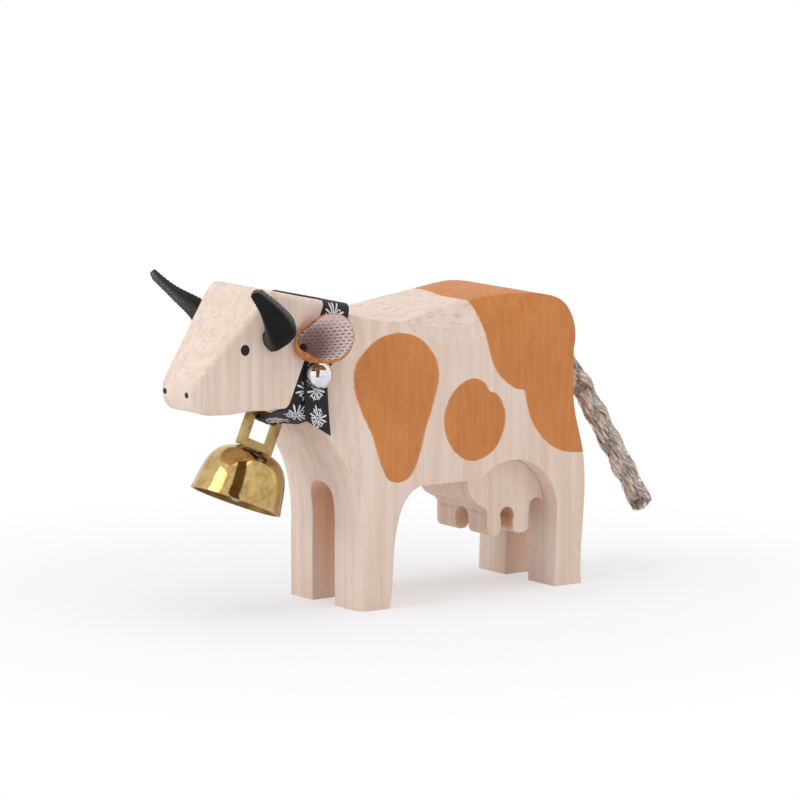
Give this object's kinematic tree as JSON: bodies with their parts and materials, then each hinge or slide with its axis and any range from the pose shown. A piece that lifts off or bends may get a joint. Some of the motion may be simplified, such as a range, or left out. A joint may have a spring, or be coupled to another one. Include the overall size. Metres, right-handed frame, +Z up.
{
  "type": "wooden toy cow",
  "caption": "Toy cow sawn from a thick plank, with leather horns and ears, a rope tail, an udder block, and a brass bell with a clapper that swings on a ribbon collar.",
  "frame": {"origin": "on the ground below the middle of the cow without its tail", "axes": "+Z up, the head looks along -X, the cow's left side is at -Y"},
  "size_m": [0.1834, 0.0601, 0.1045],
  "materials": {
    "wood": "sanded, with brown stain",
    "dark_leather": "matte",
    "brown_leather": "matte",
    "ribbon": "woven",
    "nail_chrome": "polished",
    "rope": "twisted fibre",
    "bell_brass": "polished",
    "clapper_steel": "bare wire"
  },
  "bodies": {
    "cow": {"body_block": "wood", "udder_block": "wood", "left_horn": "dark_leather", "right_horn": "dark_leather", "left_ear": "brown_leather", "right_ear": "brown_leather", "collar_ribbon": "ribbon", "collar_nail": "nail_chrome", "tail_rope": "rope"},
    "bell": {"bell_cup": "bell_brass", "bell_handle": "bell_brass"},
    "clapper": {"clapper_wire": "clapper_steel", "clapper_ball": "bell_brass"}
  },
  "joints": [
    {"name": "bell_swing", "type": "hinge", "parent": "cow", "child": "bell", "pos_m": [-0.03769, 0, 0.06064], "axis": [0.9178, 0, -0.3971], "range_deg": [-50, 50]},
    {"name": "clapper_swing", "type": "hinge", "parent": "bell", "child": "clapper", "pos_m": [-0.04392, 0, 0.04623], "axis": [0.9178, 0, -0.3971], "range_deg": [-50, 50]}
  ]
}
